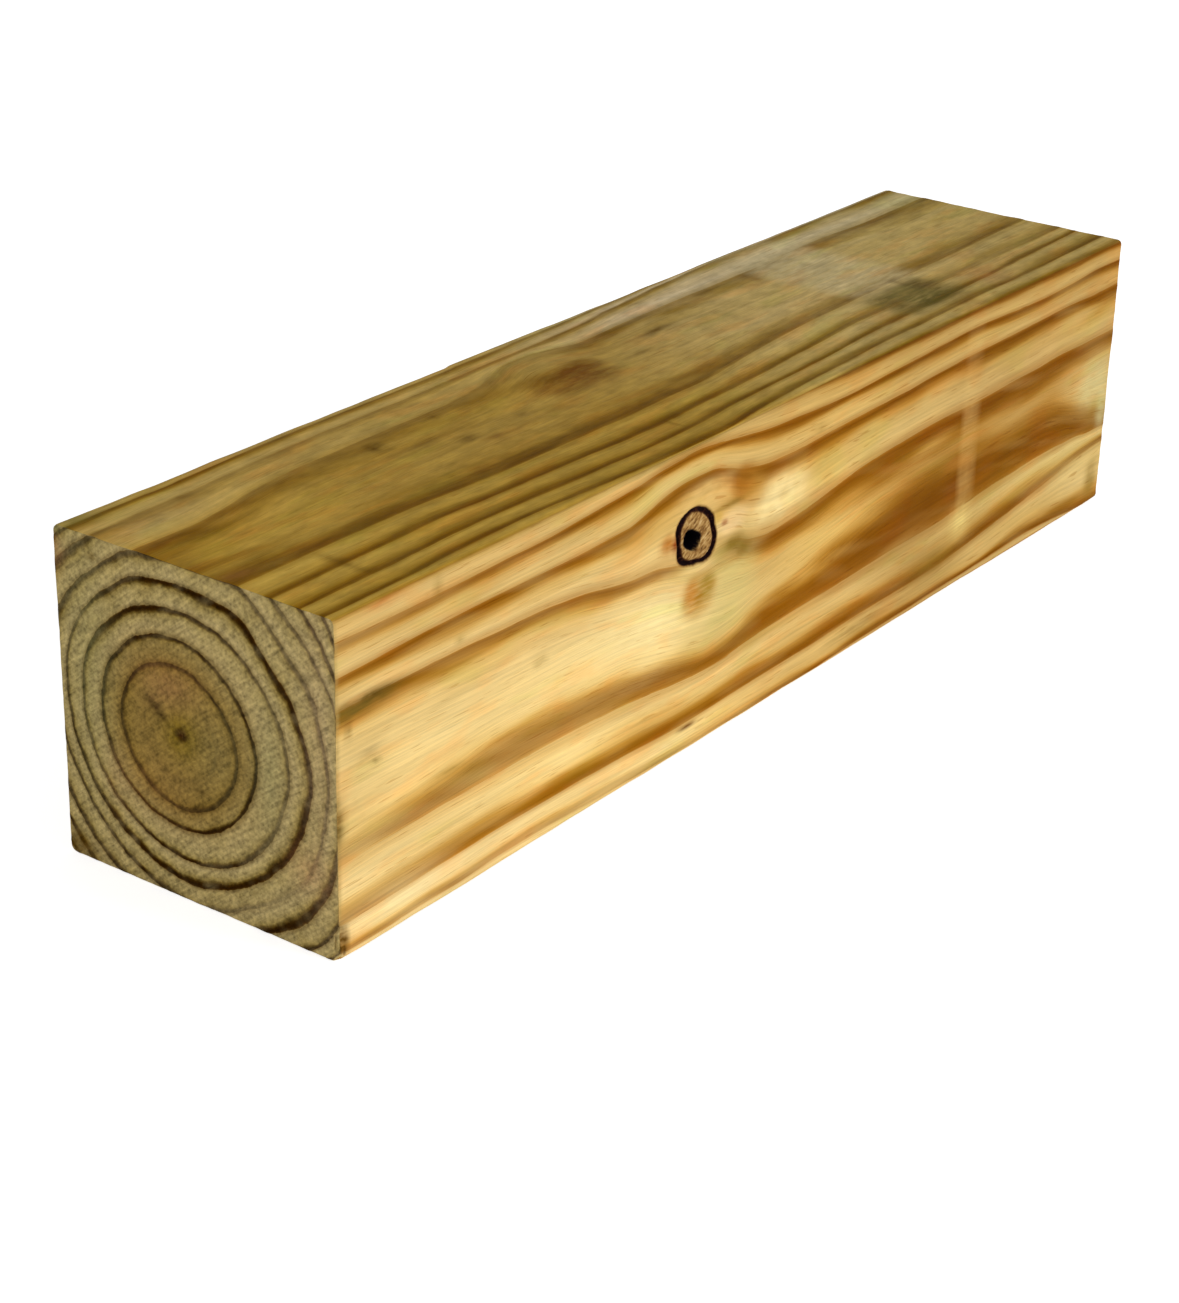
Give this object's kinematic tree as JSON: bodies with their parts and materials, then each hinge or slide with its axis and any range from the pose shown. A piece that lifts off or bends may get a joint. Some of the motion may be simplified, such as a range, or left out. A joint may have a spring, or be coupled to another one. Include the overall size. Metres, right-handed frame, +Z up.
{
  "type": "square timber mailbox post, sawn length",
  "caption": "Short square length of treated pine post stock with eased long edges and sawn ends, for carrying a mailbox.",
  "frame": {"origin": "middle of the long face that the post lies on", "axes": "+X along the grain from the butt to the far end, -Y out of the long face with the knot, +Z up out of the top face"},
  "size_m": [0.381, 0.0888, 0.0889],
  "materials": {
    "treated_pine": "planed, weathered, unfinished"
  },
  "bodies": {
    "root": {"post": "treated_pine"}
  },
  "joints": []
}
